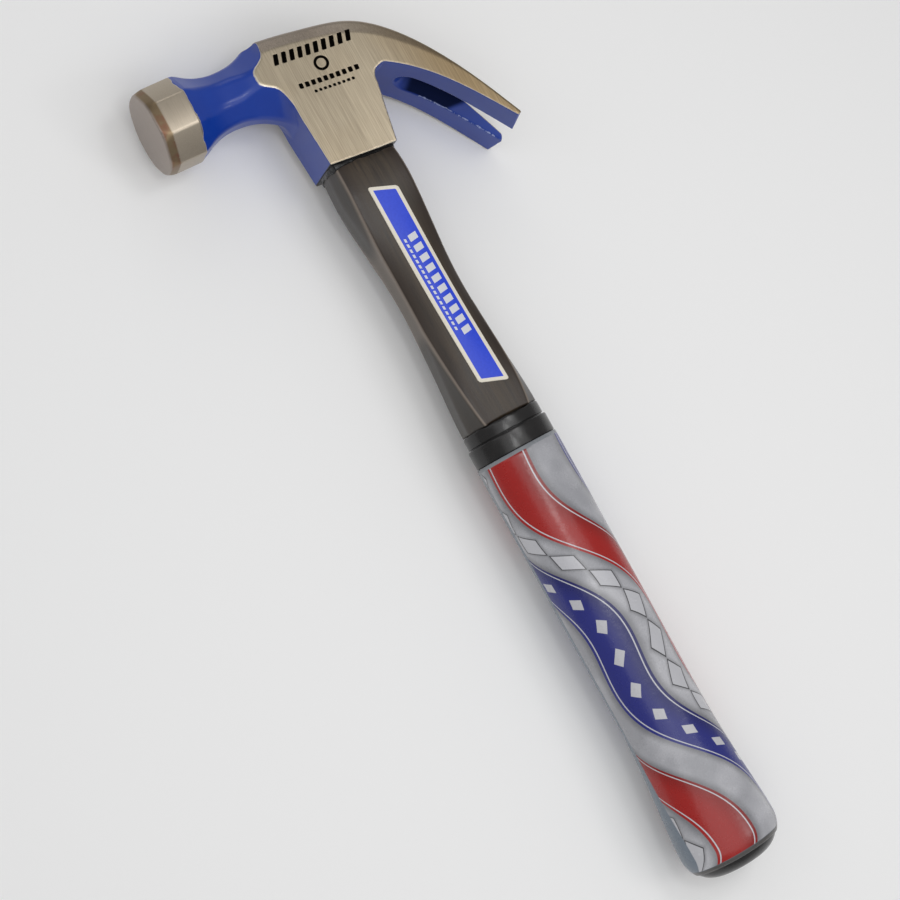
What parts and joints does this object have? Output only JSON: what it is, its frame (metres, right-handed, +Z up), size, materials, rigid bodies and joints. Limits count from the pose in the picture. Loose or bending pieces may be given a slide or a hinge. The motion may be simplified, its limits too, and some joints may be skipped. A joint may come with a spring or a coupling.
{
  "type": "curved claw hammer",
  "caption": "Curved claw hammer with a forged octagon-pattern head resin-set on a jacketed fibreglass handle, with a printed cushion grip.",
  "frame": {"origin": "under the middle of the hammer's bounding box, on the surface that it lies on", "axes": "the hammer lies on its side: +X down the handle from head to butt, +Y from the striking face towards the claw, +Z up through the upper cheek"},
  "size_m": [0.3388, 0.121, 0.0399],
  "materials": {
    "head_steel": "belt-ground, part enamelled",
    "epoxy": "gloss",
    "seal_bead": "gloss",
    "fibreglass": "matt",
    "jacket": "satin",
    "label_film": "satin",
    "grip_rubber": "satin",
    "print_film": "satin"
  },
  "bodies": {
    "root": {"hammer_head": "head_steel", "eye_epoxy": "epoxy", "eye_seal": "seal_bead", "fibreglass_core": "fibreglass", "handle_jacket": "jacket", "handle_label": "label_film", "cushion_grip": "grip_rubber", "print_sleeve": "print_film"}
  },
  "joints": []
}
